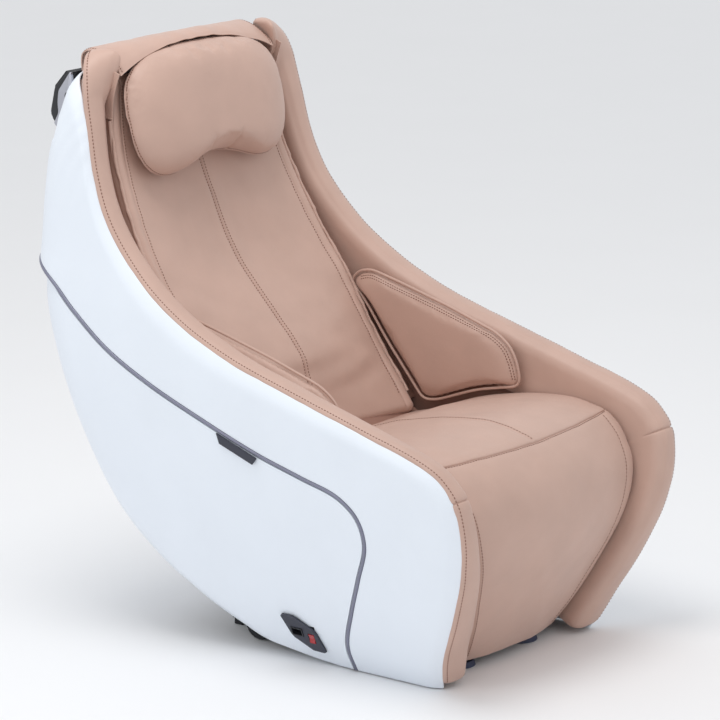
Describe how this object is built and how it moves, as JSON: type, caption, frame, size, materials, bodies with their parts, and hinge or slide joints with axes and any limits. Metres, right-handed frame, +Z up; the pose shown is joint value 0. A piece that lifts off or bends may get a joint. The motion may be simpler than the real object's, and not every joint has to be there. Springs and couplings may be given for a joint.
{
  "type": "massage chair",
  "caption": "Compact reclining massage chair: upholstered tub seat in a curved two-part shell, tilting on a low base, with leg rest, head pillow and internal roller carriage.",
  "frame": {"origin": "on the floor, under the centre of the bounding box", "axes": "+Z up, +Y towards the back of the chair, +X to the sitter's left"},
  "size_m": [0.6996, 1.0001, 1.0582],
  "materials": {
    "white_leatherette": "smooth satin leatherette over a moulded shell",
    "beige_leatherette": "fine-grained satin synthetic leather with tonal stitching",
    "trim_grey": "satin silver-grey moulding",
    "charcoal_plastic": "fine textured",
    "black_plastic": "fine textured",
    "switch_red": "glossy translucent lens",
    "handle_aluminium": "brushed",
    "frame_steel": "satin powder coat",
    "zinc_steel": "zinc plated",
    "roller_nylon": "natural nylon",
    "rubber": "matte"
  },
  "bodies": {
    "base": {"base_frame": "frame_steel", "pivot_post_right": "frame_steel", "pivot_post_left": "frame_steel", "tilt_shaft": "zinc_steel", "front_foot_right": "rubber", "front_foot_left": "rubber", "middle_glide_right": "rubber", "middle_glide_left": "rubber", "rear_foot": "rubber", "wheel_axle_right": "zinc_steel", "wheel_axle_left": "zinc_steel"},
    "chair": {"seat_frame": "frame_steel", "back_frame": "frame_steel", "guide_rail_right": "zinc_steel", "guide_rail_left": "zinc_steel", "lead_screw": "zinc_steel", "air_pump": "black_plastic", "control_unit": "charcoal_plastic", "leg_rest_motor": "black_plastic", "side_shell_right": "white_leatherette", "side_shell_left": "white_leatherette", "rear_shell": "white_leatherette", "lower_panel_right": "white_leatherette", "lower_panel_left": "white_leatherette", "belly_cover": "white_leatherette", "trim_strip_right": "trim_grey", "trim_strip_left": "trim_grey", "trim_strip_rear": "trim_grey", "badge_plate": "charcoal_plastic", "power_plate": "charcoal_plastic", "mains_inlet": "black_plastic", "handle_grip": "black_plastic", "handle_bracket_right": "handle_aluminium", "handle_bracket_left": "handle_aluminium", "side_bolster_right": "beige_leatherette", "side_bolster_left": "beige_leatherette", "hip_pad_right": "beige_leatherette", "hip_pad_left": "beige_leatherette", "seat_cushion": "beige_leatherette", "back_cushion": "beige_leatherette", "top_roll": "beige_leatherette", "pillow_flap": "beige_leatherette"},
    "leg_rest": {"leg_rest_pad": "beige_leatherette", "leg_rest_tray": "frame_steel"},
    "pillow": {"head_pillow": "beige_leatherette"},
    "switch": {"rocker_switch": "switch_red"},
    "jack_cylinder": {"jack_body": "black_plastic"},
    "jack_piston": {"jack_rod": "zinc_steel"},
    "carriage": {"carriage_frame": "frame_steel", "travel_motor": "black_plastic", "kneading_motor": "black_plastic"},
    "kneader": {"kneading_shaft": "zinc_steel"},
    "arm_right": {"massage_arm_right": "frame_steel"},
    "arm_left": {"massage_arm_left": "frame_steel"},
    "roller_lower_right": {"roller_lower_right": "roller_nylon"},
    "roller_upper_right": {"roller_upper_right": "roller_nylon"},
    "wheel_right": {"transport_wheel_right": "rubber"},
    "roller_lower_left": {"roller_lower_left": "roller_nylon"},
    "roller_upper_left": {"roller_upper_left": "roller_nylon"},
    "wheel_left": {"transport_wheel_left": "rubber"}
  },
  "joints": [
    {"name": "tilt", "type": "hinge", "parent": "base", "child": "chair", "pos_m": [0, -0.05, 0.22], "axis": [-1, 0, 0], "range_deg": [0, 25]},
    {"name": "jack_swing", "type": "hinge", "parent": "base", "child": "jack_cylinder", "pos_m": [0, 0.13, 0.045], "axis": [-1, 0, 0], "range_deg": [0, 9]},
    {"name": "jack_stroke", "type": "slide", "parent": "jack_cylinder", "child": "jack_piston", "axis": [0, -0.9787, 0.2052], "range_m": [0, 0.052]},
    {"name": "leg_rest_swing", "type": "hinge", "parent": "chair", "child": "leg_rest", "pos_m": [0, -0.372, 0.372], "axis": [-1, 0, 0], "range_deg": [0, 80]},
    {"name": "pillow_flip", "type": "hinge", "parent": "chair", "child": "pillow", "pos_m": [0, 0.388, 1.052], "axis": [-1, 0, 0], "range_deg": [0, 110]},
    {"name": "power_switch", "type": "hinge", "parent": "chair", "child": "switch", "pos_m": [-0.2687, -0.129, 0.0556], "axis": [0, -1, 0], "range_deg": [0, 8]},
    {"name": "carriage_travel", "type": "slide", "parent": "chair", "child": "carriage", "axis": [0, 0.5215, 0.8533], "range_m": [-0.11, 0.13]},
    {"name": "kneading", "type": "hinge", "parent": "carriage", "child": "kneader", "pos_m": [0, 0.32929, 0.59066], "axis": [1, 0, 0], "continuous": true},
    {"name": "tapping_right", "type": "hinge", "parent": "carriage", "child": "arm_right", "pos_m": [0, 0.32929, 0.59066], "axis": [1, 0, 0], "range_deg": [-6, 6]},
    {"name": "tapping_left", "type": "hinge", "parent": "carriage", "child": "arm_left", "pos_m": [0, 0.32929, 0.59066], "axis": [1, 0, 0], "range_deg": [-6, 6]},
    {"name": "roller_lower_right_spin", "type": "hinge", "parent": "arm_right", "child": "roller_lower_right", "pos_m": [-0.077, 0.27477, 0.55131], "axis": [1, 0, 0], "continuous": true},
    {"name": "roller_upper_right_spin", "type": "hinge", "parent": "arm_right", "child": "roller_upper_right", "pos_m": [-0.077, 0.33943, 0.65712], "axis": [1, 0, 0], "continuous": true},
    {"name": "wheel_right_spin", "type": "hinge", "parent": "base", "child": "wheel_right", "pos_m": [-0.194, 0.048, 0.033], "axis": [1, 0, 0], "continuous": true},
    {"name": "roller_lower_left_spin", "type": "hinge", "parent": "arm_left", "child": "roller_lower_left", "pos_m": [0.077, 0.27477, 0.55131], "axis": [1, 0, 0], "continuous": true},
    {"name": "roller_upper_left_spin", "type": "hinge", "parent": "arm_left", "child": "roller_upper_left", "pos_m": [0.077, 0.33943, 0.65712], "axis": [1, 0, 0], "continuous": true},
    {"name": "wheel_left_spin", "type": "hinge", "parent": "base", "child": "wheel_left", "pos_m": [0.194, 0.048, 0.033], "axis": [1, 0, 0], "continuous": true}
  ],
  "couplings": [
    {"joint": "jack_swing", "follows": "tilt", "ratio": 0.35515},
    {"joint": "jack_stroke", "follows": "tilt", "m_per_rad": 0.11775},
    {"joint": "tapping_left", "follows": "tapping_right", "ratio": -1}
  ]
}
